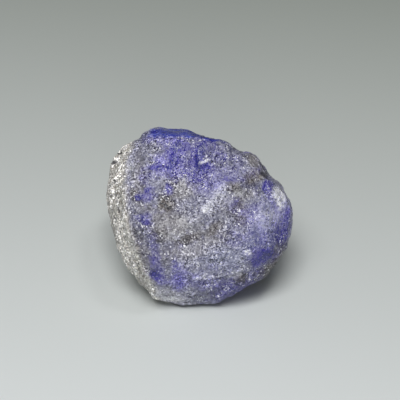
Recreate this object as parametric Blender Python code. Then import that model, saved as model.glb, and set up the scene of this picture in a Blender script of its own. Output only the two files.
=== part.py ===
"""Rough tanzanite: one unworked lump of violet-blue zoisite with a pale grey matrix side.

The lump is one solid. Its body is what is left inside an outline, seen square to the broad front, and a
set of fracture faces, with worn edges between them. Ribs, troughs, scoops and small chipped faces are
raised on that body or sunk into it, and its foot is a small flat spot that it rests on.

The stone's own frame has its origin, the heart, in the middle of the lump. RIGHT, UP and OUT are seen by
someone who faces the broad front: UP runs up the broad front and OUT points out of it. Lengths in the
stone's frame are millimetres. The finished object is in metres, +Z up, with its foot at Z = 0.
"""

import itertools
import math

import bpy
from mathutils import Matrix, Vector, noise

# Driving dimensions, in millimetres: the lump's size square to its broad front and through it, and the
# depth of the foot under the heart. The outline and the faces below are stated for a lump of this size.
STONE_WIDTH = 28.0
STONE_HEIGHT = 26.6
STONE_THICKNESS = 21.0
FOOT_DEPTH = 10.6

# The broad front looks this many degrees above the horizon while the stone rests on its foot.
FRONT_PITCH = 36.0

METRES = 0.001
HALF_AXES = Vector((STONE_WIDTH, STONE_HEIGHT, STONE_THICKNESS)) / 2

# The worn edges between two fracture faces are tighter the larger this is. The faces stand a little out
# from where they are stated, as this share, because wear takes the edges between them back again.
EDGE_SHARPNESS = 36.0
EDGE_ALLOWANCE = 0.014

# Mesh fineness: the level of the starting icosphere, the triangles that are kept of it, and the length
# under which an edge is closed up.
SPHERE_LEVEL = 6
KEPT_TRIANGLES = 8000
SLIVER = 0.02

# The outline square to the broad front, as (right, up) from the heart, anticlockwise from the right tip.
OUTLINE = (
    (13.9, 0.8), (13.3, 2.4), (12.4, 4.2), (11.0, 5.5), (9.6, 7.8), (8.8, 8.8), (7.8, 9.4), (6.2, 9.8),
    (5.3, 10.3), (4.2, 11.1), (1.6, 11.9), (-1.7, 12.9), (-5.6, 13.3), (-7.2, 13.1), (-8.1, 12.5),
    (-8.5, 11.6), (-11.2, 10.6), (-13.0, 8.3), (-13.8, 5.0), (-13.8, 2.5), (-12.9, -1.4), (-11.6, -5.2),
    (-10.6, -7.0), (-8.2, -9.7), (-6.9, -11.4), (-5.6, -12.7), (-3.5, -13.2), (2.0, -13.1), (3.7, -12.5),
    (6.0, -11.5), (8.3, -10.3), (9.9, -8.9), (11.2, -6.9), (12.6, -4.4), (13.5, -2.2),
)

# Fracture faces: the name, the turn of the face's normal round the broad front in degrees (0 is RIGHT and
# 90 is UP), its tilt from the front's plane towards OUT in degrees, and how much of the reach in that
# direction of an ellipsoid of the lump's size the face leaves.
FRACTURES = (
    ("crystal top", 84, 14, 0.985),
    ("brown corner", 38, 38, 0.955),
    ("right flank", -4, 45, 0.955),
    ("lower right", -42, 38, 0.975),
    ("front of the foot", -92, 38, 0.880),
    ("lower left", -140, 30, 0.970),
    ("left cheek, lower", -164, 26, 0.960),
    ("left cheek", 176, 24, 0.970),
    ("left cheek, upper", 142, 30, 1.000),
    ("upper front", 86, 74, 0.815),
    ("broad front", 10, 86, 0.810),
    ("lower plate", -80, 74, 0.840),
    ("lower step", -84, 50, 0.845),
    ("back", -90, -88, 0.945),
    ("underside, back", -92, -62, 0.955),
    ("back, top", 80, -40, 0.940),
    ("back, right", 5, -38, 0.980),
    ("back, left", 175, -35, 0.983),
    ("back, lower left", -140, -28, 1.010),
    ("back, lower right", -40, -24, 1.080),
    ("underside", -90, -36, 0.910),
    ("underside, left", -105, -35, 0.910),
    ("underside, right", -81, -36, 0.900),
)

# Ribs (raised) and troughs and pits (sunk) on the broad front: the name, the half width, the height and
# the (right, up) places that the rib or trough runs through.
RELIEF = (
    ("bright rib", 2.6, 0.45, ((-1.2, -0.2), (1.2, 2.0), (3.4, 4.6), (5.6, 6.0))),
    ("diagonal trough", 2.8, -0.65, ((-3.4, -4.0), (1.4, -2.9), (5.4, -0.6), (7.4, 2.0), (8.8, 4.0))),
    ("dark pit", 1.5, -0.45, ((-4.7, 2.1),)),
    ("grey bowl", 4.0, -0.45, ((-4.0, 1.0), (-1.6, -0.6))),
    ("plate's edge", 1.8, 0.25, ((-2.6, -5.4), (1.0, -5.0), (3.6, -4.4))),
    ("lower ledge", 2.2, 0.30, ((-0.2, -8.3), (3.6, -8.0), (7.4, -6.6))),
    ("left ridge", 2.0, 0.40, ((-10.4, 5.0), (-10.2, 0.0), (-8.8, -4.4), (-7.0, -8.6))),
    ("flank furrow", 1.8, -0.45, ((9.2, -1.0), (9.0, -4.4), (8.4, -7.4))),
    ("violet streak", 1.4, -0.30, ((-3.2, 9.6), (-4.0, 6.4))),
    ("second streak", 1.3, -0.30, ((0.6, 9.0), (0.2, 6.4))),
)

# How far the run of a rib or a trough strays from its places, and the size of a stray.
STRAY = 0.7
STRAY_SIZE = 2.5

# How many times a place on the broad front is corrected until it lies on the body.
PLACING_ROUNDS = 6

# Uneven faces: how much the lump is warped, as a share of its reach, and the size of a warp on a ball of
# radius 1. The seed settles the warps and the strays.
WARP = 0.05
WARP_SIZE = 0.45
NOISE_SEED = 3

# Chipped faces all over: for each coarseness the size of a chip, how far it stands out, and its seed. A
# chip that stands in, with a height below 0, is a hollow scar, and the scars meet in ridges. CHIP_TILT is
# the largest tilt of a chip along each axis, CHIP_SPREAD how far, as a share of the size, the middles of
# the chips stray from a plain grid, and CHIP_LEVEL the part of a chip's height that is over the mean.
CHIPS = (
    (5.5, -1.50, Vector((3.1, 7.4, 1.9))),
    (2.3, 0.60, Vector((8.2, 0.6, 5.3))),
)
CHIP_TILT = 0.3
CHIP_SPREAD = 0.9
CHIP_LEVEL = 0.14
CELL_MIDDLE = Vector((0.5, 0.5, 0.5))
TILT_SEED = Vector((17.0, 31.0, 47.0))
NEIGHBOURS = [Vector(steps) for steps in itertools.product((-1.0, 0.0, 1.0), repeat=3)]


def clear_scene():
    """Remove the startup objects."""
    for obj in list(bpy.data.objects):
        bpy.data.objects.remove(obj)


def make_collection(name):
    """A new collection in the scene."""
    collection = bpy.data.collections.new(name)
    bpy.context.scene.collection.children.link(collection)
    return collection


def move_to(collection, obj):
    """Take obj out of the collections that it is in, and put it in this one."""
    for old in list(obj.users_collection):
        old.objects.unlink(obj)
    collection.objects.link(obj)


def direction(turn, tilt):
    """The unit vector at that turn round the front and that tilt towards OUT, in degrees."""
    turn, tilt = math.radians(turn), math.radians(tilt)
    flat = math.cos(tilt)
    return Vector((math.cos(turn) * flat, math.sin(turn) * flat, math.sin(tilt)))


def fracture_planes():
    """Each fracture face as its normal divided by its distance from the heart."""
    planes = []
    for _, turn, tilt, share in FRACTURES:
        normal = direction(turn, tilt)
        reach = (normal * HALF_AXES).length
        planes.append(normal / (share * reach))
    return planes


def outline_edges():
    """Each edge of the outline as the two vectors that weigh a place between its ends.

    A place p is on the ray from the heart through the edge where both p.first and p.second are positive,
    and it is on the edge itself where they add up to 1.
    """
    edges = []
    for start, end in zip(OUTLINE, OUTLINE[1:] + OUTLINE[:1]):
        inverse = Matrix((start, end)).transposed().inverted()
        edges.append((inverse[0], inverse[1]))
    return edges


PLANES = fracture_planes()
EDGES = outline_edges()


def outline_pressure(way):
    """How close way comes to the outline's wall: 1 on the wall, and less inside it."""
    flat = way.to_2d()
    for first, second in EDGES:
        from_start, from_end = flat.dot(first), flat.dot(second)
        if from_start >= 0.0 and from_end >= 0.0:
            return from_start + from_end
    return 0.0


def body_point(way):
    """The point of the body, before any relief, in the direction of the unit vector way."""
    pressure = outline_pressure(way) ** EDGE_SHARPNESS
    warped = way + WARP * noise.noise_vector(way / WARP_SIZE)
    for plane in PLANES:
        pressure += max(warped.dot(plane), 0.0) ** EDGE_SHARPNESS
    return way * (1.0 + EDGE_ALLOWANCE) / pressure ** (1.0 / EDGE_SHARPNESS)


def front_point(right, up):
    """The point of the body at that place on the broad front, found by closing in on it."""
    out = HALF_AXES.z
    for _ in range(PLACING_ROUNDS):
        out = body_point(Vector((right, up, out)).normalized()).z
    return Vector((right, up, out))


def bump(ratio):
    """A smooth bump: 1 where ratio is 0, and 0 where it is 1 or more."""
    return max(1.0 - ratio * ratio, 0.0) ** 2


def distance_to_line(point, start, end):
    """The distance from point to the straight stretch from start to end."""
    run = end - start
    if run.length_squared == 0.0:
        return (point - start).length
    share = (point - start).dot(run) / run.length_squared
    return (point - start - run * min(max(share, 0.0), 1.0)).length


def relief_strokes():
    """Each rib or trough as its half width, its height and its places on the body."""
    strokes = []
    for _, half_width, height, places in RELIEF:
        points = [front_point(right, up) for right, up in places]
        strokes.append((half_width, height, list(zip(points, points[1:] or points))))
    return strokes


def relief_height(point, strokes):
    """How far the ribs, troughs and pits raise the body at point."""
    strayed = point + STRAY * noise.noise_vector(point / STRAY_SIZE)
    height = 0.0
    for half_width, rise, stretches in strokes:
        distance = min(distance_to_line(strayed, start, end) for start, end in stretches)
        height += rise * bump(distance / half_width)
    return height


def chipped_height(point, size, height, seed):
    """The height of small chips, each with a middle and a tilt of its own, which meet in creases."""
    spot = point / size + seed
    home = Vector(math.floor(number) for number in spot) + CELL_MIDDLE
    tallest = -math.inf
    for step in NEIGHBOURS:
        cell = home + step
        away = spot - cell - CHIP_SPREAD * (noise.cell_vector(cell) - CELL_MIDDLE)
        slope = 2.0 * CHIP_TILT * (noise.cell_vector(cell + TILT_SEED) - CELL_MIDDLE)
        tallest = max(tallest, slope.dot(away) - away.length_squared / 2)
    return height * (tallest + CHIP_LEVEL)


def surface_point(way, strokes):
    """The stone's surface in the direction of the unit vector way."""
    point = body_point(way)
    height = relief_height(point, strokes)
    for size, rise, seed in CHIPS:
        height += chipped_height(point, size, rise, seed)
    return point + way * height


def stone_to_world():
    """The rotation that carries RIGHT, UP and OUT to the resting stone's world directions."""
    pitch = math.radians(FRONT_PITCH)
    right = (1.0, 0.0, 0.0)
    up = (0.0, math.sin(pitch), math.cos(pitch))
    out = (0.0, -math.cos(pitch), math.sin(pitch))
    return Matrix((right, up, out)).transposed()


def make_material():
    """Violet-blue zoisite, translucent and sugary."""
    material = bpy.data.materials.new("rough_tanzanite")
    material.use_nodes = True
    shader = material.node_tree.nodes["Principled BSDF"]
    shader.inputs["Base Color"].default_value = (0.25, 0.24, 0.36, 1.0)
    shader.inputs["Roughness"].default_value = 0.4
    shader.inputs["Metallic"].default_value = 0.0
    return material


def make_stone(collection):
    """The whole lump, still without its flat foot."""
    bpy.ops.mesh.primitive_ico_sphere_add(subdivisions=SPHERE_LEVEL, radius=1.0)
    stone = bpy.context.object
    stone.name = "tanzanite"
    move_to(collection, stone)

    strokes = relief_strokes()
    turned = stone_to_world()
    points = [turned @ surface_point(v.co.normalized(), strokes) for v in stone.data.vertices]
    middle = [(min(axis) + max(axis)) / 2 for axis in zip(*points)]
    heart = Vector((-middle[0], -middle[1], FOOT_DEPTH))
    for vertex, point in zip(stone.data.vertices, points):
        vertex.co = (point + heart) * METRES

    stone.data.shade_smooth()
    stone.data.materials.append(make_material())
    thin = stone.modifiers.new("Fewer triangles", "DECIMATE")
    thin.ratio = KEPT_TRIANGLES / len(stone.data.polygons)
    return stone


def cut_foot(stone, cutters):
    """Cut the stone flat at Z = 0, where it rests."""
    side = 2 * STONE_WIDTH * METRES
    bpy.ops.mesh.primitive_cube_add(size=side, location=(0.0, 0.0, -side / 2))
    cutter = bpy.context.object
    cutter.name = "foot_cutter"
    cutter.hide_render = True
    cutter.display_type = "WIRE"
    move_to(cutters, cutter)
    cut = stone.modifiers.new("Foot", "BOOLEAN")
    cut.operation = "DIFFERENCE"
    cut.object = cutter
    weld = stone.modifiers.new("No slivers round the foot", "WELD")
    weld.merge_threshold = SLIVER * METRES


def main():
    clear_scene()
    noise.seed_set(NOISE_SEED)
    stone = make_stone(make_collection("rough_tanzanite"))
    cut_foot(stone, make_collection("cutters"))


main()
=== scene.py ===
"""The looks of the rough tanzanite: a sugary violet-blue crystal lump with a pale grey matrix side.

The stone is one piece. It starts as the frame's own solid, evenly remeshed and smoothed, and gets crystal
facets, grains, ledges, grooves and pits as real relief. Masks on its points say where it is violet, clear
blue, glassy, grey, brown, pale matrix, dim, pale, bright or dark, and its material turns them into colour
and gloss. Part of that colour is painted light: shade in the relief's hollows and light on its crests,
shadow and shade in parts of the dim, dark and brown patches, and light and glare in parts of the pale
and bright ones.

RIGHT, UP and OUT are the stone's own directions, seen square to its broad front, and places on it are given
in millimetres from its heart, as (right, up).
"""

import math

import bpy
import numpy as np
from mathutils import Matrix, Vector


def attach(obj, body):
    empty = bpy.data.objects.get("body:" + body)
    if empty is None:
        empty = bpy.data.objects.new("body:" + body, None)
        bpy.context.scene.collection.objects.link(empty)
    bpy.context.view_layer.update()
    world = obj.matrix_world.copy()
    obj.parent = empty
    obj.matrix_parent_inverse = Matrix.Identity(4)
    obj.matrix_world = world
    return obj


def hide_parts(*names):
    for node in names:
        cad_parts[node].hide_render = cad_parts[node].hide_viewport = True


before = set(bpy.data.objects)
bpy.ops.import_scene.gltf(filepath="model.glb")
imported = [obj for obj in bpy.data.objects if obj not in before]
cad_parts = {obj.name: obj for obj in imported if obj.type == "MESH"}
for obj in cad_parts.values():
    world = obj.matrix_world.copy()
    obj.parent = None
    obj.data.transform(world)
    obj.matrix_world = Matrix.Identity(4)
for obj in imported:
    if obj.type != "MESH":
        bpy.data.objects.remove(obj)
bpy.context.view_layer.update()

MM = 0.001

# The stone's own frame: where its heart is, in millimetres, and how far its broad front looks up.
HEART = np.array((-0.18, -0.81, 10.6))
FRONT_PITCH = math.radians(36.0)
RIGHT = np.array((1.0, 0.0, 0.0))
UP = np.array((0.0, math.sin(FRONT_PITCH), math.cos(FRONT_PITCH)))
OUT = np.array((0.0, -math.cos(FRONT_PITCH), math.sin(FRONT_PITCH)))

# The camera: how far it looks down, how far off it is, what it looks at, and the picture's scale there.
CAMERA_ELEVATION = math.radians(36.0)
CAMERA_DISTANCE = 230.0
CAMERA_TARGET = (0.08, 0.60, 12.58)
PICTURE_SIDE = 400
MM_PER_PIXEL = 0.15

# The surface mesh: its spacing in millimetres, and how often it is smoothed.
SPACING = 0.176
SMOOTHINGS = 12
# How often the relief is smoothed before its hollows and crests are told apart, and how strongly they show
# as painted shade in the hollows and painted light on the crests.
RELIEF_SMOOTHINGS = 6
RELIEF_GAIN = 5.0

# The noises that the masks stray with: the size of their bumps in millimetres, and their seed.
NOISES = {
    "warp": (1.6, 11),
    "fine_warp": (0.5, 21),
    "cloud": (5.0, 31),
    "drift": (3.0, 37),
    "second_cloud": (3.4, 41),
}
# The crystal facets: their size in millimetres, tilt, seed, and how many millimetres they stand out.
FACETS = {
    "coarse": (1.15, 0.45, 60, 0.50),
    "middle": (0.55, 0.45, 70, 0.26),
    "fine": (0.32, 0.5, 80, 0.12),
    "glassy": (2.4, 0.35, 90, 0.35),
    "broad": (3.2, 0.45, 120, 1.1),
}
# What brings the facets' height to about 0 on average.
FACET_LEVEL = 0.14
# How far flutes on the matrix and stripes on the blue slab stand out, and how deep pits and dark gaps go.
FLUTE_HEIGHT = 0.09
STRIPE_HEIGHT = 0.03
PIT_DEPTH = 0.20
DARK_DEPTH = 0.30

# Where things fade in: by how far a point is out from the heart, in millimetres, or by how squarely its
# surface faces OUT.
FRONT_OUT = (-3.0, 0.5)
FRONT_FACING = (-0.35, 0.0)
SPOTS_OUT = (-7.0, -4.0)
SPOTS_FACING = (0.12, 0.30)
DIM_OUT = (-6.0, -3.0)
PALE_OUT = (-8.0, -5.0)
SLAB_OUT = (-6.5, -3.0)
BRIM_OUT = (0.0, 1.5)
LEDGES_OUT = (0.5, 2.5)


# Noise in numbers

def hashed(cells, seed):
    """A repeatable number from 0 to 1 for each row of whole numbers in cells."""
    mixed = (cells * np.array((73856093, 19349663, 83492791))).sum(axis=1) + seed * 2654435761
    mixed &= 0xFFFFFFFF
    for shift, factor in ((16, 0x45D9F3B), (15, 0x2C1B3C6D), (16, 1)):
        mixed = ((mixed >> shift) ^ mixed) * factor & 0xFFFFFFFF
    return mixed / 0xFFFFFFFF


def smooth_noise(points, size, seed):
    """Smooth noise from -1 to 1, with bumps about that size."""
    spot = points / size
    cell = np.floor(spot).astype(np.int64)
    share = spot - cell
    share = share * share * (3.0 - 2.0 * share)
    total = np.zeros(len(points))
    for corner in np.ndindex(2, 2, 2):
        weight = np.prod(np.where(corner, share, 1.0 - share), axis=1)
        total += weight * hashed(cell + corner, seed)
    return total * 2.0 - 1.0


def rough_noise(points, size, seed, octaves=3):
    """Smooth noise of several sizes, each half the last, from about -1 to 1."""
    layers = [smooth_noise(points, size / 2**k, seed + k) / 2**k for k in range(octaves)]
    return sum(layers) / (2.0 - 2.0 ** (1 - octaves))


def facets(points, name):
    """Small tilted faces that meet in creases: their height in millimetres."""
    size, tilt, seed, rise_mm = FACETS[name]
    spot = points / size
    home = np.floor(spot).astype(np.int64)
    height = np.full(len(points), -np.inf)
    for step in np.ndindex(3, 3, 3):
        cell = home + np.array(step) - 1
        middle = np.stack([hashed(cell, seed + k) for k in range(3)], axis=1)
        slope = np.stack([hashed(cell, seed + 3 + k) for k in range(3)], axis=1) - 0.5
        away = spot - cell - middle
        rise = 2.0 * tilt * (slope * away).sum(axis=1) - (away * away).sum(axis=1) / 2.0
        height = np.maximum(height, rise)
    return rise_mm * (height + FACET_LEVEL)


def ramp(value, low, high):
    """0 where value is low or less, 1 where it is high or more, and smooth between them."""
    share = np.clip((value - low) / (high - low), 0.0, 1.0)
    return share * share * (3.0 - 2.0 * share)


# Places on the stone

# The ridge between the pale matrix cheek on the left and the violet front, as (up, right).
CHEEK_RIDGE = (
    (-13.0, -5.4), (-11.4, -5.8), (-8.8, -6.9), (-6.0, -8.1), (-4.0, -8.9), (-1.4, -9.5),
    (1.2, -10.0), (5.3, -10.5), (8.7, -10.2), (11.7, -9.2), (13.5, -8.4),
)

# Patches: (right, up, half width, half height, turn in degrees, strength). First where the crystal is
# violet, and its deep clear windows.
VIOLET = (
    (-3.3, 9.3, 1.3, 2.6, -15, 1.0), (-3.6, 7.2, 2.0, 1.7, 0, 0.85), (-5.4, 7.5, 1.2, 1.5, 0, 0.8),
    (-0.3, 8.8, 0.9, 1.6, -15, 1.0), (-0.6, 6.2, 1.1, 1.4, -20, 1.0), (1.2, 7.0, 0.9, 0.8, 30, 0.9),
    (1.2, 4.8, 1.9, 1.6, 0, 0.65), (2.2, 9.2, 2.2, 1.4, -25, 0.40), (3.9, 5.9, 1.3, 1.2, 0, 0.35),
    (3.2, 8.8, 1.2, 0.6, 0, 0.4), (0.7, 6.6, 0.8, 0.8, 0, 0.5), (5.7, 6.0, 1.0, 1.6, 0, 0.35),
    (5.8, 7.7, 0.6, 1.2, 0, 0.3), (-6.5, 11.4, 1.8, 0.6, 0, 0.6), (0.9, 11.0, 2.0, 0.7, -18, 0.5),
    (-4.6, 10.9, 2.4, 0.8, 0, 0.6), (-7.4, 2.9, 1.2, 0.8, 0, 0.9), (-7.0, 4.1, 0.7, 0.5, 0, 0.5),
    (-7.4, 6.0, 1.2, 1.1, 0, 0.5), (-4.2, 3.9, 0.5, 0.7, 0, 1.0), (-7.6, -0.3, 0.9, 0.9, 0, 0.7),
    (-6.4, -4.0, 0.7, 2.0, 10, 0.5), (-6.0, -7.0, 0.8, 1.8, 15, 0.5),
    (-5.6, -9.0, 0.9, 1.1, 20, 0.8), (-2.7, -9.3, 1.2, 1.6, 0, 1.0),
    (-3.0, -7.2, 1.0, 0.9, 0, 0.45), (10.4, 4.3, 0.6, 1.3, 0, 1.0), (9.6, -0.6, 2.8, 2.2, 0, 0.60),
    (12.9, -0.2, 1.1, 2.4, -10, 1.0), (12.4, -3.0, 1.2, 1.4, 20, 0.8),
    (8.9, -5.6, 1.9, 1.5, 35, 1.0), (-8.6, 4.9, 0.8, 0.5, 0, 0.2), (8.0, 6.3, 1.7, 0.8, 10, 0.35),
    (-5.6, 8.8, 1.0, 1.0, 0, 0.4), (5.0, 1.8, 1.3, 1.0, 0, 0.4), (0.6, -9.3, 2.8, 1.0, 0, 0.6),
    (11.4, -5.6, 0.8, 0.8, 0, 0.6), (7.6, 0.3, 1.6, 1.3, 0, 0.45), (6.0, -3.2, 2.0, 1.3, 0, 0.40),
    (4.2, -10.1, 4.2, 1.0, 4, 0.45), (6.4, -11.4, 4.4, 1.2, 16, 0.8),
    (8.6, -8.4, 1.2, 0.9, 0, 0.35), (10.2, -3.0, 1.4, 1.0, 30, 0.55),
    (3.2, -7.4, 2.4, 1.0, 0, 0.20), (11.7, 1.0, 1.0, 1.4, 0, 1.0),
)
WINDOW = (
    (-3.4, 9.0, 0.8, 2.5, -17, 1.0), (0.3, 8.8, 0.55, 2.0, -15, 1.0), (0.9, 7.1, 0.9, 0.6, 30, 0.9),
    (-6.2, 7.2, 1.1, 0.6, 10, 0.8), (-4.5, 4.3, 0.4, 0.9, 0, 0.5), (-8.6, 2.8, 0.5, 0.45, 0, 0.9),
    (-7.4, 3.8, 0.6, 0.5, 0, 0.8), (-8.3, -0.2, 0.5, 0.8, 0, 0.6), (-7.3, -0.9, 0.7, 0.4, 0, 0.6),
    (-6.7, -6.6, 0.45, 1.5, 15, 0.4), (-6.3, -8.6, 0.8, 0.7, 20, 0.8),
    (-2.9, -9.2, 0.7, 0.9, 0, 0.5), (-2.4, -10.2, 0.6, 0.6, 0, 0.4), (9.8, 4.4, 0.6, 0.9, 5, 0.7),
    (9.9, -5.5, 1.5, 0.9, 25, 0.9), (8.3, -6.6, 0.8, 0.6, 20, 0.7), (13.2, -0.6, 0.7, 1.8, 0, 0.6),
    (-1.6, 10.4, 0.5, 0.9, 0, 0.5), (4.2, 5.6, 0.9, 0.6, 0, 0.4), (-3.4, -6.8, 0.5, 0.6, 0, 0.5),
    (12.2, -2.2, 0.8, 0.8, 0, 0.4), (-5.0, 10.2, 0.6, 0.8, 20, 0.4), (5.4, 2.0, 0.7, 0.6, 0, 0.3),
)
# The clear blue slab along the top edge, and where the crystal is glassier than its sugary rest.
CLEAR = (
    (-1.3, 12.3, 1.4, 0.7, 0, 1.0), (-4.4, 12.8, 3.9, 1.05, 0, 1.0),
    (0.9, 12.1, 2.6, 0.75, -16, 1.0), (3.2, 11.3, 1.0, 0.4, -25, 0.3),
)
GLASSY = (
    (10.5, -1.0, 3.0, 3.0, 0, 0.8), (8.8, -4.6, 2.4, 2.5, 0, 0.8), (3.4, -6.2, 3.2, 1.6, 0, 0.45),
    (10.4, 4.3, 1.2, 1.5, 0, 0.5), (-3.0, 9.0, 0.9, 1.6, 0, 0.5), (-2.2, -0.8, 1.8, 1.2, 0, 0.3),
    (-0.4, 7.6, 0.8, 2.0, -12, 0.5),
)
# Where other minerals make the stone grey or brown. The brown band along the valley across the middle is
# in part painted shade.
GREY = (
    (-2.7, 4.0, 2.2, 1.8, 0, 0.9), (-3.7, -1.2, 3.2, 2.4, 0, 1.0), (-6.0, 9.6, 1.4, 1.2, 0, 0.2),
    (-4.2, -12.0, 2.6, 1.2, 0, 0.5), (0.2, -1.8, 1.0, 1.2, 0, 0.6), (4.2, 1.4, 2.6, 1.6, 25, 0.4),
    (6.5, 3.2, 1.8, 0.8, 20, 0.7), (2.0, -3.2, 2.4, 0.9, 20, 0.6), (-5.0, -5.6, 2.0, 1.4, 0, 0.4),
    (-1.5, -5.2, 2.6, 1.0, 0, 0.6), (-8.6, 5.0, 1.0, 4.0, 0, 0.7), (-8.0, -4.6, 0.8, 3.0, 15, 0.6),
)
BROWN_AND_SHADE = (
    (-4.7, 1.9, 1.4, 1.3, 0, 1.0), (-1.3, -3.2, 1.9, 0.6, 20, 0.7), (2.4, -1.6, 1.6, 0.8, 40, 0.8),
    (8.2, 8.4, 1.1, 1.3, 30, 0.8), (8.2, 5.9, 1.7, 1.1, 15, 1.0), (5.2, 4.2, 1.0, 0.8, 0, 0.8),
    (6.2, 0.6, 1.0, 2.0, 15, 0.8), (11.9, -6.0, 1.2, 1.6, 20, 0.8), (10.0, -8.2, 1.9, 0.9, 40, 0.9),
    (-9.0, -4.0, 0.5, 2.2, 12, 0.6), (6.3, -9.4, 0.9, 1.0, 0, 0.7), (-9.4, 3.4, 0.6, 0.9, 0, 0.7),
    (-5.6, -3.0, 1.2, 0.9, 0, 0.5), (12.2, -4.0, 0.8, 1.4, 20, 0.6), (-7.4, 1.4, 1.0, 0.7, 0, 0.5),
)
# Where the stone is dimmer or paler than its colour alone makes it. The dim patches are in part painted
# shade and shadow: the shadow gap under the rim low on the right, and a shaded strip along the left edge.
DIM_AND_SHADOW = (
    (-6.4, -7.2, 1.6, 3.2, 15, 0.5), (-9.6, 1.0, 0.8, 2.2, 0, 0.5), (7.8, 4.4, 0.9, 1.3, 0, 0.4),
    (-13.0, 8.0, 0.7, 1.1, 0, 0.9), (-3.0, 10.1, 0.9, 1.0, 0, 0.7), (4.0, 9.2, 1.4, 0.8, 20, 1.0),
    (-1.7, 5.6, 1.1, 0.7, 0, 0.5), (10.2, 6.6, 0.5, 1.2, 30, 0.7), (5.6, 5.4, 0.8, 0.7, 0, 0.6),
    (4.5, 3.1, 0.8, 0.6, 0, 0.6), (10.5, 4.2, 0.5, 1.2, 0, 0.5), (-4.2, 0.4, 2.2, 0.8, 10, 0.6),
    (-4.4, -5.2, 2.0, 1.2, 0, 0.4), (-7.6, 4.6, 2.0, 1.6, 0, 0.3), (-8.3, -0.2, 1.1, 1.3, 0, 0.7),
    (-7.6, -0.4, 0.9, 1.0, 0, 0.4), (-0.2, 6.6, 1.6, 1.8, 0, 0.6), (1.6, 11.5, 2.4, 0.8, -16, 0.8),
    (-8.3, -2.4, 0.8, 2.4, 8, 0.8), (-7.8, -6.4, 0.7, 2.2, 14, 0.9), (-8.6, 2.6, 1.2, 1.6, 0, 0.6),
    (-3.4, 7.0, 1.4, 1.6, 0, 0.3), (-1.2, 7.0, 1.6, 1.6, 0, 0.3), (2.2, 9.2, 3.0, 1.2, -25, 1.0),
    (5.4, 8.2, 1.8, 1.4, -25, 0.7), (7.6, 3.4, 1.6, 1.6, 20, 0.8), (-5.2, 2.6, 1.9, 1.1, 0, 0.7),
    (6.8, -0.4, 1.8, 1.6, 20, 0.5), (7.4, -9.4, 3.6, 1.5, 20, 0.9), (10.6, -6.6, 1.8, 1.8, 35, 0.8),
    (12.2, -3.6, 1.1, 1.8, 15, 1.0), (3.0, -11.4, 4.0, 1.0, 6, 0.7), (4.6, 4.4, 1.2, 1.0, 0, 0.2),
    (-1.6, -3.8, 3.0, 0.8, 15, 0.5), (-6.6, -2.6, 1.6, 1.4, 0, 0.5), (-11.2, 2.3, 0.5, 2.0, 0, 0.6),
    # The first patch here and the first on the next line paint shade on a strip along the left edge.
    (-12.9, -2.5, 0.6, 3.0, 8, 0.9), (-9.6, -6.7, 0.7, 0.9, 0, 0.6), (-11.2, 3.3, 0.5, 0.8, 0, 0.8),
    (-12.4, -2.6, 0.5, 3.0, 10, 0.9), (-9.1, -6.9, 0.6, 1.4, 14, 0.9),
    (-7.8, -4.0, 0.9, 1.2, 0, 0.5), (-8.6, -9.6, 0.8, 2.4, 32, 0.8),
    # These two paint the dark shadow gap under the rim low on the right onto the stone.
    (10.9, -8.8, 1.7, 0.9, 35, 1.0), (8.6, -10.8, 2.6, 0.8, 25, 1.0),
    (4.0, -2.6, 1.6, 1.2, 30, 0.4), (-7.8, 8.0, 1.2, 1.8, 0, 0.3),
)
# The pale patches are in part painted light: glare at the right edge, the lit left cheek and lower front.
PALE_AND_LIT = (
    (-2.6, -10.6, 4.2, 2.0, 0, 0.4), (-10.3, -6.2, 0.9, 2.6, 22, 1.0),
    (5.6, -6.0, 2.4, 2.4, 0, 0.3), (1.5, 1.3, 1.0, 0.8, 42, 0.9), (9.4, -1.2, 1.3, 1.5, 0, 0.9),
    # The second patch here paints the glare at the right edge.
    (11.6, -0.1, 1.0, 0.8, 0, 0.9), (12.3, 2.6, 1.5, 1.7, 0, 1.0), (9.4, -0.6, 1.8, 1.6, 0, 0.3),
    (10.6, 1.6, 1.0, 0.6, 0, 0.6), (1.4, 1.5, 0.9, 0.7, 0, 0.6), (11.6, 0.2, 0.9, 0.7, 0, 0.7),
    (-4.2, -12.3, 3.2, 1.3, 0, 1.0), (-2.9, -8.9, 1.2, 1.3, 0, 0.4),
    (-1.2, -6.4, 2.2, 0.7, 10, 0.5), (4.8, -5.6, 1.6, 1.0, 20, 0.5), (2.9, 3.0, 1.7, 1.1, 45, 0.6),
    (-10.0, 7.5, 1.1, 2.1, 0, 1.0), (7.9, 8.0, 0.6, 1.2, -20, 0.6), (8.6, 6.8, 1.6, 2.0, 30, 0.35),
    (-9.4, -8.4, 0.5, 1.2, 35, 0.8), (-11.4, -2.4, 0.7, 2.4, 8, 0.8), (4.3, 4.7, 0.6, 0.5, 0, 0.4),
    (9.5, 2.3, 0.8, 1.2, 0, 0.6), (2.4, -7.8, 4.0, 1.4, 0, 0.4), (0.6, -8.4, 2.4, 0.4, 6, 0.5),
)
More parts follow.
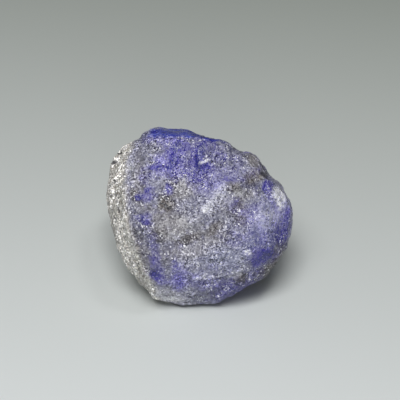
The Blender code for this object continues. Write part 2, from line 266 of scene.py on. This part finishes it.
# White faces and spots, and dark pits and gaps. The white faces are in part painted glare highlights, and
# the thin dark lines near the left outline are in part painted shade.
BRIGHT_AND_GLARE = (
    # The first three paint the highlight on the ridge in the middle as white.
    (1.1, 1.2, 0.55, 0.5, 30, 1.0), (1.7, 2.0, 0.5, 0.3, 45, 0.5), (3.3, 3.6, 1.0, 0.7, 45, 0.35),
    # These three paint the glare on the right edge as white.
    (12.1, 2.6, 0.7, 1.2, 12, 1.0), (11.5, 3.4, 0.6, 0.9, 20, 1.0), (12.1, 1.4, 0.5, 0.6, 0, 0.9),
    (7.2, -5.2, 0.5, 0.4, 0, 0.9), (1.0, 8.1, 0.7, 0.22, 20, 0.9), (-6.5, 10.8, 0.35, 0.3, 0, 1.0),
    (-10.0, 7.1, 0.35, 0.3, 0, 1.0), (-1.6, -0.8, 1.5, 0.9, 20, 0.2),
    (-3.6, -2.6, 1.4, 0.5, 0, 0.3), (9.2, -0.4, 1.3, 1.6, 0, 0.30), (10.8, 0.4, 1.2, 0.9, 0, 0.4),
    (5.8, 3.4, 0.9, 0.5, 20, 0.4), (1.3, -8.9, 1.7, 0.22, 5, 0.5), (-4.1, -12.4, 1.6, 0.5, 0, 0.9),
    (-10.1, -8.0, 0.35, 0.45, 0, 1.0), (-11.1, 10.5, 0.5, 0.35, 30, 0.9),
    (7.9, 3.0, 0.9, 0.5, 10, 0.1), (0.9, -8.6, 0.6, 0.5, 0, 0.4), (5.4, -8.4, 0.9, 0.5, 20, 0.3),
    (-7.2, -11.4, 1.0, 0.4, -50, 0.6), (-5.6, -11.0, 0.8, 0.8, 0, 0.3),
    (4.6, 2.2, 0.7, 0.4, 40, 0.3),
)
DARK_AND_SHADE = (
    (10.1, 6.0, 1.2, 0.35, -30, 0.9), (-11.8, 9.5, 0.3, 0.2, 30, 1.0),
    # Most patches below are thin lines near the left outline, in part painted shade along that edge.
    (-12.7, 8.1, 0.5, 0.22, 40, 1.0), (-12.3, 3.0, 0.15, 0.4, -20, 1.0),
    (-11.7, 0.9, 0.16, 0.5, 10, 1.0), (-12.2, -0.4, 0.15, 0.5, -10, 1.0),
    (-12.5, 5.2, 0.12, 0.4, 10, 0.8), (-11.2, -3.6, 0.13, 0.5, 15, 0.8),
    (-10.2, -6.4, 0.12, 0.45, 20, 0.8), (-11.2, 6.4, 0.2, 0.3, 20, 0.7),
    (-10.9, -1.6, 0.12, 0.4, 0, 0.7), (0.2, 7.6, 0.3, 0.8, -20, 0.3),
)
# The thin dark brim along the top right of the outline.
BRIM = (
    (6.8, 9.75, 1.3, 0.22, -12, 1.0), (8.5, 9.0, 0.8, 0.22, -42, 1.0),
    (9.5, 7.6, 1.1, 0.22, -60, 0.9), (10.5, 6.2, 0.8, 0.25, -45, 0.8),
    (12.3, 4.2, 1.2, 0.18, -58, 0.7),
)

# Where the rim low on the right is tucked back, and by how much in millimetres.
TUCK = (
    (7.5, -12.0, 3.6, 1.5, 22, 1.0),
)
TUCK_MOVE = np.array((-0.2, 1.1, 0.0))

# Small ledges and grooves on the front: half width, height, and the places that each runs through.
LEDGES = (
    (0.45, 0.14, ((-9.0, 2.6), (-7.8, 2.1), (-6.2, 2.4))),
    (0.45, 0.14, ((-8.8, -1.6), (-7.6, -1.9), (-6.4, -1.5))),
    (0.40, 0.12, ((-8.2, 1.3), (-6.6, 1.6))),
    (0.45, 0.16, ((-0.8, -9.2), (1.5, -8.8), (4.2, -8.6), (6.5, -7.6))),
    (0.40, 0.14, ((-5.6, -6.2), (-3.6, -5.4), (-0.8, -5.6), (2.0, -5.0))),
    (0.50, 0.16, ((0.4, 0.3), (1.4, 1.4), (1.9, 2.6))),
    (0.35, -0.14, ((-8.2, 11.9), (-5.7, 11.6), (-2.9, 11.6), (-0.6, 11.5), (3.4, 10.7))),
    (0.40, 0.12, ((-7.0, 9.2), (-5.4, 8.9), (-4.6, 9.6))),
    (0.50, 0.14, ((5.0, -4.4), (6.6, -5.2), (7.6, -6.6))),
    (0.55, 0.16, ((8.2, 2.2), (9.6, 1.6), (10.8, 2.0))),
    (0.40, -0.14, ((10.4, -2.2), (11.4, -3.0), (12.2, -4.6))),
)


def patches(table, places, warp, softness=0.5):
    """How much each place is in the table's patches, from 0 to 1, with edges that stray with warp."""
    amount = np.zeros(len(places))
    for right, up, half_width, half_height, turn, strength in table:
        away = places - (right, up)
        turned = math.radians(turn)
        along = away[:, 0] * math.cos(turned) + away[:, 1] * math.sin(turned)
        across = away[:, 1] * math.cos(turned) - away[:, 0] * math.sin(turned)
        distance = np.hypot(along / half_width, across / half_height) + 0.35 * warp
        patch = strength * ramp(-distance, -1.0 - softness, -1.0 + softness)
        amount = 1.0 - (1.0 - amount) * (1.0 - patch)
    return amount


def ledge_height(places):
    """How far the ledges and grooves raise the front at each place, in millimetres."""
    height = np.zeros(len(places))
    for half_width, rise, corners in LEDGES:
        distance = np.full(len(places), np.inf)
        for start, end in zip(np.array(corners), np.array(corners)[1:]):
            run = end - start
            share = np.clip((places - start) @ run / (run @ run), 0.0, 1.0)
            distance = np.minimum(distance, np.linalg.norm(places - start - share[:, None] * run, axis=1))
        height += rise * ramp(-distance, -half_width, 0.0)
    return height


# The stone's surface

def even_copy(node):
    """A new object with the node's solid remeshed evenly."""
    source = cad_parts[node]
    stone = bpy.data.objects.new("tanzanite_surface", source.data.copy())
    bpy.context.scene.collection.objects.link(stone)
    remesh = stone.modifiers.new("Even", "REMESH")
    remesh.mode = "VOXEL"
    remesh.voxel_size = SPACING * MM
    bpy.context.view_layer.update()
    evaluated = stone.evaluated_get(bpy.context.evaluated_depsgraph_get())
    mesh = bpy.data.meshes.new_from_object(evaluated)
    mesh.name = "tanzanite_surface"
    stone.modifiers.clear()
    stone.data = mesh
    mesh.materials.clear()
    return stone


def read_vectors(mesh, key):
    """The mesh's points or normals as rows of numbers."""
    vectors = np.empty(len(mesh.vertices) * 3, np.float32)
    mesh.vertices.foreach_get(key, vectors)
    return vectors.reshape(-1, 3).astype(float)


def write_points(mesh, points):
    """Put the mesh's points there, given in millimetres."""
    mesh.vertices.foreach_set("co", (points * MM).astype(np.float32).ravel())
    mesh.update()


def smoothed(values, edges, times):
    """The rows of values after each has been drawn towards its neighbours that many times."""
    count = np.bincount(edges.ravel(), minlength=len(values))
    for _ in range(times):
        columns = []
        for column in values.T:
            total = np.bincount(edges[:, 0], column[edges[:, 1]], len(values))
            total += np.bincount(edges[:, 1], column[edges[:, 0]], len(values))
            columns.append(0.5 * column + 0.5 * total / count)
        values = np.stack(columns, axis=1)
    return values


def stray(points, name):
    """The named noise at each point, from about -1 to 1."""
    return rough_noise(points, *NOISES[name])


def slab_mask(points, own, warp):
    """Where the clear blue slab is: along the top edge, and over the top with ever more uneven edges."""
    out = own[:, 2]
    depth = ramp(-out, -6.5, -2.0)
    drift = stray(points, "drift")
    shift = np.stack((5.0 * drift, 1.5 * stray(points, "second_cloud")), axis=1)
    places = own[:, :2] + depth[:, None] * shift
    slab = patches(CLEAR, places, (0.35 + 1.1 * depth) * warp, 0.2 + 0.2 * depth)
    return slab * ramp(out + warp + 4.0 * depth * drift, *SLAB_OUT)


def matrix_mask(points, places, far_side, warp):
    """Where the pale matrix is: on the left cheek, and as a crust on parts of the far side."""
    ridge_up, ridge_right = np.array(CHEEK_RIDGE).T
    ridge = np.interp(places[:, 1], ridge_up, ridge_right)
    cheek = ramp(ridge - places[:, 0] + 0.65 * warp, -0.5, 1.0)
    crust = ramp(stray(points, "cloud") + 0.25 * warp - 0.1 * places[:, 0], -0.1, 0.35)
    return np.maximum(cheek, far_side * crust)


def masks_at(points, normals):
    """The points in the stone's own frame, and where it has which colour and finish."""
    own = (points - HEART) @ np.stack((RIGHT, UP, OUT), axis=1)
    places = own[:, :2]
    out = own[:, 2]
    facing = normals @ OUT
    front = ramp(out, *FRONT_OUT) * ramp(facing, *FRONT_FACING)
    far_side = 1.0 - front
    in_view = ramp(facing, *SPOTS_FACING) * ramp(out, *SPOTS_OUT)
    warp = stray(points, "warp") + 0.5 * stray(points, "fine_warp")
    cloud = stray(points, "second_cloud")
    brim = patches(BRIM, places, 0.5 * warp, 0.4) * ramp(out, *BRIM_OUT)
    masks = {
        "violet": front * patches(VIOLET, places, warp, 0.8) + far_side * ramp(cloud, 0.0, 0.5),
        "window": front * patches(WINDOW, places, warp) + far_side * 0.6 * ramp(cloud, 0.3, 0.6),
        "clear": slab_mask(points, own, warp),
        "glassy": front * patches(GLASSY, places, warp),
        "grey": front * patches(GREY, places, warp) + far_side * 0.4,
        # The brown mask: mineral colour, and in part painted shade along the valley.
        "brown": front * patches(BROWN_AND_SHADE, places, warp) + far_side * 0.6 * ramp(-cloud, 0.1, 0.5),
        # The dim patches: in part painted shade and shadow.
        "dim": ramp(out, *DIM_OUT) * patches(DIM_AND_SHADOW, places, warp, 0.7),
        # The pale patches: in part painted light and glare.
        "pale": ramp(out + warp, *PALE_OUT) * patches(PALE_AND_LIT, places, warp, 0.6),
        # The bright patches: white grains, and in part painted glare highlights.
        "bright": in_view * patches(BRIGHT_AND_GLARE, places, warp),
        # The dark patches and the brim: in part painted shade along the left edge.
        "dark": np.maximum(in_view * patches(DARK_AND_SHADE, places, 0.6 * warp, 0.4), brim),
        "matrix": matrix_mask(points, places, far_side, warp),
    }
    return own, masks


def crystal_relief(own, masks):
    """How far crystals, grains, flutes, pits and ledges stand out of the smooth stone, in millimetres."""
    wander = np.stack([rough_noise(own, 1.2, 50 + k) for k in range(3)], axis=1)
    bent = own + 0.25 * wander
    fibres = bent * (1.0, 0.55, 1.0)
    glassy = np.clip(masks["glassy"] + masks["clear"], 0.0, 1.0)
    rough = 1.0 - 0.7 * glassy
    height = rough * (facets(fibres, "coarse") + facets(fibres, "middle") + facets(bent, "fine"))
    height += glassy * facets(own * (0.7, 1.0, 1.0), "glassy")
    height += ramp(-own[:, 2], -1.0, 2.0) * facets(own + 0.4 * wander, "broad")
    height += FLUTE_HEIGHT * masks["matrix"] * smooth_noise(bent * (1.0, 0.3, 0.6), 0.55, 105)
    height += STRIPE_HEIGHT * masks["clear"] * smooth_noise(own * (0.12, 1.0, 1.0), 0.33, 110)
    height -= PIT_DEPTH * rough * ramp(rough_noise(own, 0.9, 100), 0.30, 0.65)
    height -= DARK_DEPTH * masks["dark"]
    height += ramp(own[:, 2], *LEDGES_OUT) * ledge_height(own[:, :2] + 0.3 * wander[:, :2])
    return height


def make_stone():
    """The stone's finished surface, with its masks on its points."""
    stone = even_copy("tanzanite")
    mesh = stone.data
    edges = np.empty(len(mesh.edges) * 2, np.int32)
    mesh.edges.foreach_get("vertices", edges)
    edges = edges.reshape(-1, 2)
    write_points(mesh, smoothed(read_vectors(mesh, "co") / MM, edges, SMOOTHINGS))
    points, normals = read_vectors(mesh, "co") / MM, read_vectors(mesh, "normal")

    own, masks = masks_at(points, normals)
    points = points + patches(TUCK, own[:, :2], 0.0)[:, None] * TUCK_MOVE
    height = crystal_relief(own, masks)
    height -= height.mean()
    points = points + normals * (height * ramp(points[:, 2], 0.05, 0.8))[:, None]
    points[:, 2] = np.maximum(points[:, 2], 0.0)
    write_points(mesh, points)
    mesh.polygons.foreach_set("use_smooth", np.ones(len(mesh.polygons), bool))

    # The relief mask: painted light on crests above their smoothed surroundings, painted shade in hollows.
    crest = height - smoothed(height[:, None], edges, RELIEF_SMOOTHINGS)[:, 0]
    masks["relief"] = 0.5 + RELIEF_GAIN * crest
    for name, values in masks.items():
        layer = mesh.attributes.new(name, "FLOAT", "POINT")
        layer.data.foreach_set("value", np.clip(values, 0.0, 1.0).astype(np.float32))
    layer = mesh.attributes.new("own", "FLOAT_VECTOR", "POINT")
    layer.data.foreach_set("vector", own.astype(np.float32).ravel())
    return stone


# The stone's material

# What each kind of crystal cells gives: three random numbers for the cell, the three as a colour, and how
# far the cell's middle is.
FIRST, SECOND, THIRD, COLOUR, DISTANCE = range(5)


class Nodes:
    """A material's node tree, with short ways to add to it."""

    def __init__(self, name):
        self.material = bpy.data.materials.new(name)
        self.material.use_nodes = True
        self.tree = self.material.node_tree
        self.shader = self.tree.nodes["Principled BSDF"]

    def add(self, kind, inputs=(), **settings):
        """A new node of that kind with its settings, and its inputs set or linked."""
        node = self.tree.nodes.new(kind)
        for key, value in settings.items():
            setattr(node, key, value)
        for key, value in dict(inputs).items():
            self.put(node.inputs[key], value)
        return node

    def put(self, socket, value):
        """Set a socket to a value, or link it to another node's socket."""
        if isinstance(value, bpy.types.NodeSocket):
            self.tree.links.new(value, socket)
        elif isinstance(value, tuple) and len(value) == 3 and socket.type == "RGBA":
            socket.default_value = (*value, 1.0)
        else:
            socket.default_value = value

    def mask(self, name):
        """The stone's mask of that name."""
        return self.add("ShaderNodeAttribute", attribute_name=name).outputs["Fac"]

    def math(self, operation, first, second=0.0, third=0.0):
        """A number worked out from others."""
        inputs = {0: first, 1: second, 2: third}
        return self.add("ShaderNodeMath", inputs, operation=operation).outputs[0]

    def centred(self, value, factor, rest=0.0):
        """rest plus a number from 0 to 1 that is carried to both sides of 0."""
        return self.math("MULTIPLY_ADD", self.math("SUBTRACT", value, 0.5), factor, rest)

    def grey(self, value):
        """A grey of that value."""
        return self.add("ShaderNodeCombineXYZ", {0: value, 1: value, 2: value}).outputs[0]

    def vector(self, operation, first, second):
        """A vector worked out from two others, or from one and a number for its length."""
        key = "Scale" if operation == "SCALE" else 1
        return self.add("ShaderNodeVectorMath", {0: first, key: second}, operation=operation).outputs[0]

    def between(self, value, low, high, to_low=0.0, to_high=1.0):
        """value carried from one range to another, and kept inside it."""
        inputs = {"Value": value, "From Min": low, "From Max": high, "To Min": to_low, "To Max": to_high}
        return self.add("ShaderNodeMapRange", inputs, clamp=True).outputs["Result"]

    def mix(self, share, first, second):
        """Two colours mixed."""
        node = self.add("ShaderNodeMix", data_type="RGBA")
        self.put(node.inputs[0], share)
        self.put(node.inputs[6], first)
        self.put(node.inputs[7], second)
        return node.outputs[2]

    def cells(self, place, size):
        """Crystal cells of that size in millimetres: what FIRST to DISTANCE stand for."""
        node = self.add("ShaderNodeTexVoronoi", {"Vector": place, "Scale": 1.0 / size})
        split = self.add("ShaderNodeSeparateColor", {"Color": node.outputs["Color"]})
        return [*split.outputs, node.outputs["Color"], node.outputs["Distance"]]

    def spots(self, cells, kind):
        """Spots of that kind in some of the cells, each strongest at its cell's middle."""
        number, limits, fade, strength = kind
        middle = self.between(cells[DISTANCE], *fade, 0.0, strength)
        return self.math("MULTIPLY", self.between(cells[number], *limits), middle)

    def noise(self, place, size, detail=2.0, output="Fac"):
        """Smooth noise of that size in millimetres."""
        inputs = {"Vector": place, "Scale": 1.0 / size, "Detail": detail}
        return self.add("ShaderNodeTexNoise", inputs).outputs[output]


LILAC_GREY = (0.245, 0.245, 0.335)
BLUE_GREY = (0.205, 0.220, 0.355)
GREY_STONE = (0.30, 0.29, 0.315)
BROWN_STONE = (0.165, 0.15, 0.145)
VIOLET_STONE = (0.165, 0.150, 0.43)
VIOLET_DEEP = (0.060, 0.045, 0.33)
BLUE_STONE = (0.044, 0.054, 0.30)
BLUE_LIGHT = (0.12, 0.14, 0.52)
CREAM_STONE = (0.48, 0.455, 0.42)
CREAM_LIGHT = (0.82, 0.80, 0.76)
CREAM_ROSE = (0.44, 0.37, 0.33)
WHITE_GRAIN = (0.96, 0.96, 1.0)
DARK_GRAIN = (0.03, 0.028, 0.04)

# The patterns' sizes in millimetres: three kinds of crystal cells, and the smooth ones.
FINE_SIZE = 0.18
GRAIN_SIZE = 0.40
FLAKE_SIZE = 0.26
MOTTLE_SIZE = 0.50
CLOUD_SIZE = 1.1
HAZE_SIZE = 2.4
THREAD_SIZE = 0.40
STREAK_SIZE = 0.9
BEND_SIZE = 0.45

# White specks, slivers and glints, in part white grains and in part painted sparkle, and dark gaps and
# pits:
# which of a cell's random numbers decides, from where to where it brings them in, the distances between
# which they fade in, and their strength.
SPECK = (SECOND, (0.86, 0.93), (0.70, 0.35), 1.4)
SLIVER = (FIRST, (0.93, 0.98), (0.42, 0.20), 1.1)
GLINT = (FIRST, (0.965, 0.99), (0.50, 0.25), 1.0)
GAP = (THIRD, (0.16, 0.10), (0.85, 0.45), 1.0)
PIT = (THIRD, (0.045, 0.035), (0.60, 0.35), 0.9)

# How strongly each pattern lightens and darkens the stone, as powers of two.
FINE_SHADE = 2.9
GRAIN_SHADE = 0.6
FLAKE_SHADE = 0.5
MOTTLE_SHADE = 1.0
CLOUD_SHADE = 0.9
# The dim patches' darkening is in part painted shade and shadow.
DIM_SHADE = -1.0
# The pale patches' lightening is in part painted light and glare.
PALE_SHADE = 0.7
ALL_SHADE = -0.28
MATRIX_SHADE = 0.4
# The relief's lightening and darkening: painted light on the crests, painted shade in the hollows.
RELIEF_SHADE = 1.7
# How much of the shade is added evenly to all colours, so that specks look like glints on the surface.
GLINT_GREY = 0.15
# How far the finest cells tilt the surface normal, and how high the grains' bump is in millimetres.
GRAIN_TILT = 0.8
GRAIN_BUMP = 0.10
# The gloss: the roughness from grain to grain, what the matrix and the glassy parts add, and the least.
ROUGHNESS = (0.25, 0.60)
MATRIX_ROUGHNESS = 0.12
GLASSY_ROUGHNESS = -0.12
LEAST_ROUGHNESS = 0.12


class Patterns:
    """The patterns that the stone's colour and gloss are made from, in its own frame."""

    def __init__(self, n):
        own = n.add("ShaderNodeAttribute", attribute_name="own").outputs["Vector"]
        bend = n.vector("SUBTRACT", n.noise(own, BEND_SIZE, 2.0, "Color"), (0.5, 0.5, 0.5))
        bent = n.vector("ADD", own, n.vector("SCALE", bend, 0.5))
        thin = n.vector("MULTIPLY", bent, (1.0, 0.45, 1.0))
        streaks = n.vector("MULTIPLY", own, (0.5, 1.6, 0.8))
        self.fine = n.cells(bent, FINE_SIZE)
        self.grain = n.cells(bent, GRAIN_SIZE)
        self.flake = n.cells(thin, FLAKE_SIZE)
        self.mottle = n.noise(bent, MOTTLE_SIZE, 3.0)
        self.cloud = n.noise(own, CLOUD_SIZE)
        self.haze = n.noise(own, HAZE_SIZE)
        self.thread = n.noise(bent, THREAD_SIZE, 1.0)
        self.streak = n.noise(streaks, STREAK_SIZE)
        self.glassy = n.math("MAXIMUM", n.mask("clear"), n.mask("glassy"))
        calm = n.between(self.haze, 0.36, 0.62, 1.2, 0.6)
        windows = n.math("MAXIMUM", n.mask("clear"), n.mask("window"))
        calm = n.math("MULTIPLY", calm, n.math("MULTIPLY_ADD", windows, -0.45, 1.0))
        self.speckled = n.math("MULTIPLY_ADD", windows, -0.6, 1.0)
        self.sugary = n.math("MULTIPLY", calm, n.math("MULTIPLY_ADD", self.glassy, -0.2, 1.0))


def stone_colour(n, p):
    """The stone's colour before grains and glints: violet windows in lilac, grey, brown and cream."""
    colour = n.mix(n.mask("glassy"), LILAC_GREY, BLUE_GREY)
    colour = n.mix(n.mask("grey"), colour, GREY_STONE)
    # Brown: mineral colour, and in part painted shade along the valley.
    colour = n.mix(n.mask("brown"), colour, BROWN_STONE)
    violet = n.centred(p.mottle, 0.5, n.centred(p.cloud, 1.1, n.mask("violet")))
    colour = n.mix(n.between(violet, 0.05, 0.95), colour, VIOLET_STONE)
    window = n.centred(p.mottle, 0.9, n.centred(p.cloud, 0.7, n.mask("window")))
    colour = n.mix(n.between(window, 0.20, 0.80), colour, VIOLET_DEEP)
    cream = n.mix(n.between(p.mottle, 0.35, 0.65), CREAM_STONE, CREAM_LIGHT)
    cream = n.mix(n.between(p.flake[THIRD], 0.75, 1.0, 0.0, 0.7), cream, CREAM_ROSE)
    colour = n.mix(n.mask("matrix"), colour, cream)
    blue = n.mix(n.between(p.streak, 0.4, 0.65), BLUE_STONE, BLUE_LIGHT)
    return n.mix(n.mask("clear"), colour, blue)


def shaded(n, p, colour):
    """The colour lightened and darkened by the cells and the mottling, by the relief as painted light on
    its crests and painted shade in its hollows, and by the dim and pale patches, in part painted shade and
    light.
    """
    # The relief adds painted light on its crests and painted shade in its hollows.
    power = n.centred(p.cloud, CLOUD_SHADE, n.centred(n.mask("relief"), RELIEF_SHADE))
    power = n.centred(p.flake[SECOND], FLAKE_SHADE, n.centred(p.mottle, MOTTLE_SHADE, power))
    power = n.centred(p.fine[FIRST], FINE_SHADE, n.centred(p.grain[SECOND], GRAIN_SHADE, power))
    power = n.math("MULTIPLY", power, n.math("MULTIPLY_ADD", n.mask("matrix"), MATRIX_SHADE, 1.0))
    power = n.math("MULTIPLY_ADD", power, p.sugary, ALL_SHADE)
    # Darker in the dim patches: in part painted shade and shadow.
    power = n.math("MULTIPLY_ADD", n.mask("dim"), DIM_SHADE, power)
    # Lighter in the pale patches: in part painted light and glare.
    power = n.math("MULTIPLY_ADD", n.mask("pale"), PALE_SHADE, power)
    shade = n.math("POWER", 2.0, power)
    grey = n.math("MULTIPLY", n.math("SUBTRACT", shade, 1.0), GLINT_GREY)
    half = n.math("MULTIPLY_ADD", n.math("SUBTRACT", shade, 1.0), 0.4, 1.0)
    colour = n.vector("MULTIPLY", colour, n.grey(half))
    colour = n.vector("ADD", colour, n.grey(grey))
    return n.vector("MAXIMUM", colour, (0.02, 0.02, 0.03))


def grained(n, p, colour):
    """The colour with its white specks, slivers and threads, in part painted sparkle, its bright grains and
    painted glare, and its dark gaps and dark patches, in part painted shade.
    """
    cluster = n.between(p.cloud, 0.42, 0.60, 0.25, 1.0)
    line = n.math("ABSOLUTE", n.math("SUBTRACT", p.thread, 0.5))
    line = n.math("MULTIPLY", n.between(line, 0.024, 0.008), n.between(p.mottle, 0.50, 0.60, 0.0, 0.9))
    # White specks, slivers, glints and threads: white grains, and in part painted sparkle.
    white = n.math("MAXIMUM", n.spots(p.fine, SPECK), n.spots(p.flake, SLIVER))
    white = n.math("MAXIMUM", white, n.math("MAXIMUM", n.spots(p.grain, GLINT), line))
    white = n.math("MULTIPLY", white, n.math("MULTIPLY", cluster, p.sugary))
    white = n.math("MULTIPLY", white, p.speckled)
    # Bright patches: white grains, and in part painted glare highlights.
    bright = n.math("MULTIPLY", n.mask("bright"), n.between(p.grain[THIRD], 0.2, 0.7, 0.25, 1.0))
    bright = n.math("MULTIPLY", bright, n.between(p.fine[THIRD], 0.0, 0.5, 0.4, 1.0))
    colour = n.mix(n.math("MAXIMUM", white, bright), colour, WHITE_GRAIN)
    gap = n.math("MAXIMUM", n.spots(p.fine, GAP), n.spots(p.grain, PIT))
    gap = n.math("MULTIPLY", gap, n.math("MULTIPLY", p.sugary, 0.85))
    # Dark patches: pits and gaps, and in part painted shade along the left edge.
    dark = n.math("MULTIPLY", n.mask("dark"), 0.85)
    return n.mix(n.math("MAXIMUM", gap, dark), colour, DARK_GRAIN)


def stone_normal(n, p):
    """The surface normal, tilted cell by cell and bumped at the grains."""
    smooth = n.add("ShaderNodeNewGeometry").outputs["Normal"]
    lean = n.vector("SUBTRACT", p.fine[COLOUR], (0.5, 0.5, 0.5))
    tilt = n.vector("SCALE", lean, n.math("MULTIPLY", p.sugary, GRAIN_TILT))
    tilted = {0: n.vector("ADD", smooth, tilt)}
    normal = n.add("ShaderNodeVectorMath", tilted, operation="NORMALIZE").outputs[0]
    inputs = {"Height": p.grain[DISTANCE], "Normal": normal, "Strength": 0.7, "Distance": GRAIN_BUMP * MM}
    return n.add("ShaderNodeBump", inputs, invert=True).outputs[0]


def stone_material():
    """Sugary violet zoisite: zones of colour, crystal grains, sparkle and gloss."""
    n = Nodes("tanzanite_rough")
    p = Patterns(n)
    roughness = n.between(p.fine[FIRST], 0.0, 1.0, *ROUGHNESS)
    roughness = n.math("MULTIPLY_ADD", n.mask("matrix"), MATRIX_ROUGHNESS, roughness)
    roughness = n.math("MULTIPLY_ADD", p.glassy, GLASSY_ROUGHNESS, roughness)
    n.put(n.shader.inputs["Base Color"], grained(n, p, shaded(n, p, stone_colour(n, p))))
    n.put(n.shader.inputs["Roughness"], n.math("MAXIMUM", roughness, LEAST_ROUGHNESS))
    n.put(n.shader.inputs["Normal"], stone_normal(n, p))
    n.put(n.shader.inputs["Coat Weight"], n.math("MULTIPLY", p.glassy, 0.2))
    n.shader.inputs["Coat Roughness"].default_value = 0.12
    n.shader.inputs["IOR"].default_value = 1.6
    n.shader.inputs["Subsurface Weight"].default_value = 0.08
    n.shader.inputs["Subsurface Radius"].default_value = (0.6, 0.6, 1.0)
    n.shader.inputs["Subsurface Scale"].default_value = 0.3 * MM
    return n.material


# The studio

FLOOR_FRONT = (0.67, 0.70, 0.695)
FLOOR_BACK_SHADED = (0.35, 0.378, 0.345)
# How much further back the floor counts for each step to the right, which darkens it on that side as
# painted shade.
FLOOR_SLANT = 0.2
# From where to where the floor darkens towards the back as painted shade, and the floor's side, in metres.
FLOOR_FADE = (-0.04, 0.10)
FLOOR_SIDE = 3.0

# The soft lights: name, place and side in metres, and power in watts. They look at a spot inside the stone.
LIGHTS = (
    ("key", (-0.03, -0.18, 0.42), 0.20, 1.56),
    ("front", (0.02, -0.45, 0.12), 0.16, 0.22),
    ("left_glint", (-0.16, -0.18, 0.38), 0.06, 0.12),
    ("right_glint", (0.12, -0.04, 0.40), 0.06, 0.15),
)
LIGHT_TARGET = (0.0, 0.0, 0.012)
SKY_COLOUR = (0.95, 0.97, 1.0, 1.0)
SKY_STRENGTH = 0.12


def make_floor():
    """A plain pale floor with painted shade, a little darker far behind the stone and to the right."""
    bpy.ops.mesh.primitive_plane_add(size=FLOOR_SIDE)
    floor = bpy.context.object
    floor.name = "floor"
    n = Nodes("floor_pale")
    place = n.add("ShaderNodeTexCoord").outputs["Object"]
    steps = n.add("ShaderNodeSeparateXYZ", {"Vector": place}).outputs
    depth = n.math("MULTIPLY_ADD", steps["X"], FLOOR_SLANT, steps["Y"])
    # Darker towards the back and the right: painted shade.
    colour = n.mix(n.between(depth, *FLOOR_FADE), FLOOR_FRONT, FLOOR_BACK_SHADED)
    n.put(n.shader.inputs["Base Color"], colour)
    n.shader.inputs["Roughness"].default_value = 0.55
    n.shader.inputs["Specular IOR Level"].default_value = 0.25
    floor.data.materials.append(n.material)


def make_light(name, place, side, power):
    """A square soft light that looks at the stone."""
    lamp = bpy.data.lights.new(name, "AREA")
    lamp.shape = "SQUARE"
    lamp.size = side
    lamp.energy = power
    light = bpy.data.objects.new(name, lamp)
    bpy.context.scene.collection.objects.link(light)
    light.location = place
    aim = Vector(LIGHT_TARGET) - Vector(place)
    light.rotation_euler = aim.to_track_quat("-Z", "Y").to_euler()


def make_studio():
    """Soft light from all round, with the most of it from above."""
    make_floor()
    for name, place, side, power in LIGHTS:
        make_light(name, place, side, power)
    world = bpy.data.worlds.new("studio")
    world.use_nodes = True
    background = world.node_tree.nodes["Background"]
    background.inputs["Color"].default_value = SKY_COLOUR
    background.inputs["Strength"].default_value = SKY_STRENGTH
    bpy.context.scene.world = world
    bpy.context.scene.view_settings.view_transform = "Standard"


def make_camera():
    """The camera at the photograph's viewing angle."""
    lens = bpy.data.cameras.new("camera")
    lens.sensor_width = 36.0
    lens.lens = lens.sensor_width * CAMERA_DISTANCE / (MM_PER_PIXEL * PICTURE_SIDE)
    lens.clip_start = 0.01
    camera = bpy.data.objects.new("camera", lens)
    bpy.context.scene.collection.objects.link(camera)
    back = Vector((0.0, -math.cos(CAMERA_ELEVATION), math.sin(CAMERA_ELEVATION)))
    camera.location = (Vector(CAMERA_TARGET) + back * CAMERA_DISTANCE) * MM
    camera.rotation_euler = (-back).to_track_quat("-Z", "Y").to_euler()
    bpy.context.scene.camera = camera


stone = make_stone()
stone.data.materials.append(stone_material())
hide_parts("tanzanite")
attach(stone, "root")
make_studio()
make_camera()

bpy.context.view_layer.update()
